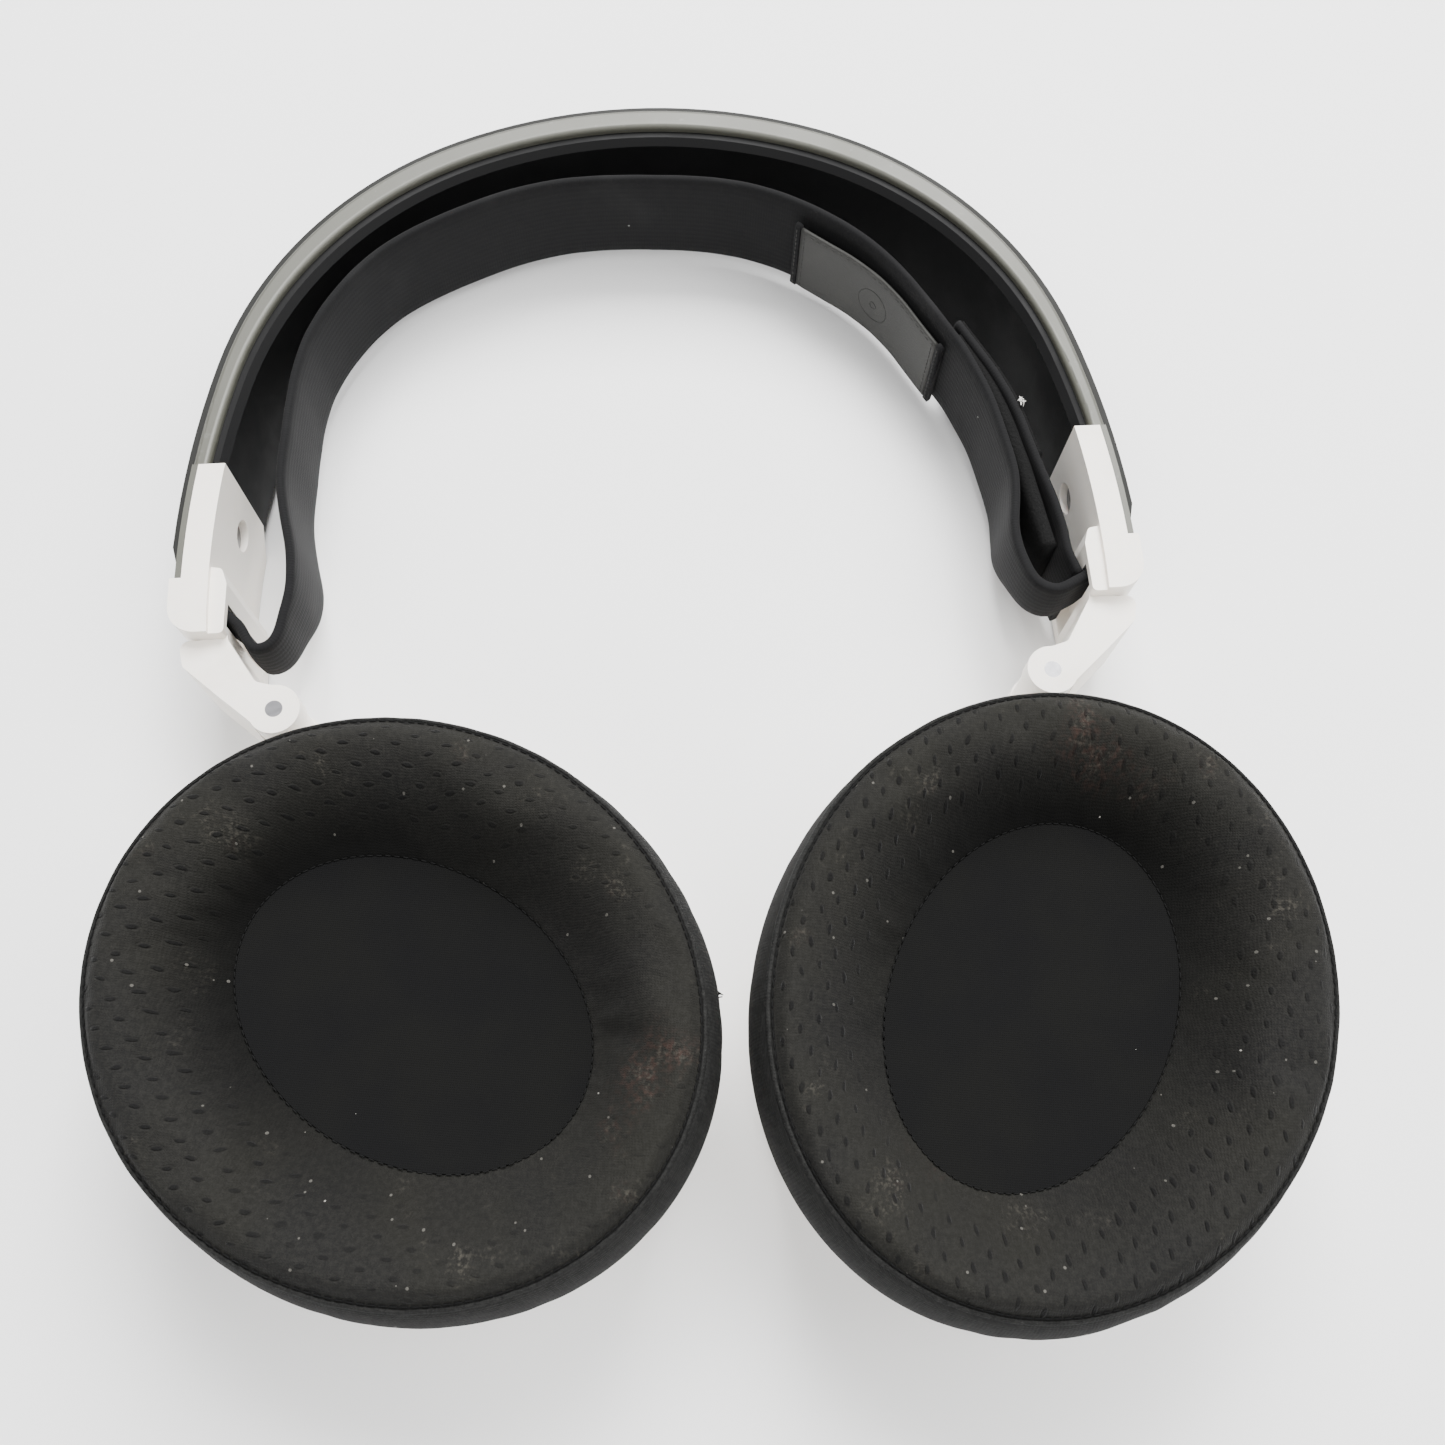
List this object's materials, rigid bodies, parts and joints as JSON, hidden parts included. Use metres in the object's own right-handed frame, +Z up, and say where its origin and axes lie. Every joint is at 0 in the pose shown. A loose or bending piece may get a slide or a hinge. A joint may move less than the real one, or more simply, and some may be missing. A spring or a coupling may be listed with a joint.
{
  "type": "over-ear headphones",
  "caption": "Over-ear headphones with a sprung headband, an elastic suspension strap, and oval cups with knitted cushions that tilt and swivel flat.",
  "frame": {"origin": "on the table under the middle of the whole, cups swivelled flat with their cushions up", "axes": "+X to the right, +Y towards the crown of the headband, +Z up from the table"},
  "size_m": [0.1883, 0.2309, 0.042],
  "materials": {
    "band_grey": "satin light grey lacquer",
    "skin_dark": "matt dark elastomer",
    "spring_steel": "plain spring steel",
    "screw_steel": "zinc plated",
    "liner_black": "satin black",
    "shell_white": "fine matt cream white",
    "baffle_black": "matt black",
    "strap_elastic": "black woven elastic",
    "patch_grey": "soft matt grey, stitched",
    "cushion_knit": "charcoal perforated knit",
    "scrim_cloth": "dark sheer cloth",
    "diaphragm_film": "thin milky film",
    "board_green": "fibreglass board"
  },
  "bodies": {
    "headband": {"band_frame": "band_grey", "outer_skin": "skin_dark", "spring_strip": "spring_steel", "band_liner": "liner_black", "end_plate_screws": "screw_steel", "suspension_strap": "strap_elastic", "strap_tail": "strap_elastic", "strap_patch": "patch_grey", "left_end_plate": "shell_white", "left_neck": "shell_white", "left_tilt_pin": "screw_steel", "right_end_plate": "shell_white", "right_neck": "shell_white", "right_tilt_pin": "screw_steel"},
    "left_hanger_arm": {"left_hanger": "shell_white", "left_swivel_washer": "spring_steel", "left_retaining_clip": "spring_steel"},
    "left_cup": {"left_cup_shell": "shell_white", "left_outer_cover": "shell_white", "left_baffle": "baffle_black", "left_shell_screws": "screw_steel", "left_driver_frame": "baffle_black", "left_driver_magnet": "spring_steel", "left_driver_diaphragm": "diaphragm_film", "left_driver_grille": "baffle_black", "left_cushion_ring": "baffle_black", "left_ear_cushion": "cushion_knit", "left_cushion_scrim": "scrim_cloth", "left_terminal_board": "board_green", "left_audio_socket": "baffle_black"},
    "right_hanger_arm": {"right_hanger": "shell_white", "right_swivel_washer": "spring_steel", "right_retaining_clip": "spring_steel"},
    "right_cup": {"right_cup_shell": "shell_white", "right_outer_cover": "shell_white", "right_baffle": "baffle_black", "right_shell_screws": "screw_steel", "right_driver_frame": "baffle_black", "right_driver_magnet": "spring_steel", "right_driver_diaphragm": "diaphragm_film", "right_driver_grille": "baffle_black", "right_cushion_ring": "baffle_black", "right_ear_cushion": "cushion_knit", "right_cushion_scrim": "scrim_cloth", "right_terminal_board": "board_green"}
  },
  "joints": [
    {"name": "left_tilt", "type": "hinge", "parent": "headband", "child": "left_hanger_arm", "pos_m": [-0.072, -0.0104, 0.015], "axis": [0, 0, -1], "range_deg": [0, 33]},
    {"name": "left_swivel", "type": "hinge", "parent": "left_hanger_arm", "child": "left_cup", "pos_m": [-0.072, -0.0104, 0.015], "axis": [-0.4305, 0.9026, 0], "range_deg": [0, 90]},
    {"name": "right_tilt", "type": "hinge", "parent": "headband", "child": "right_hanger_arm", "pos_m": [0.062, -0.0104, 0.015], "axis": [0, 0, 1], "range_deg": [0, 20]},
    {"name": "right_swivel", "type": "hinge", "parent": "right_hanger_arm", "child": "right_cup", "pos_m": [0.062, -0.0104, 0.015], "axis": [-0.2147, -0.9767, 0], "range_deg": [0, 90]}
  ]
}
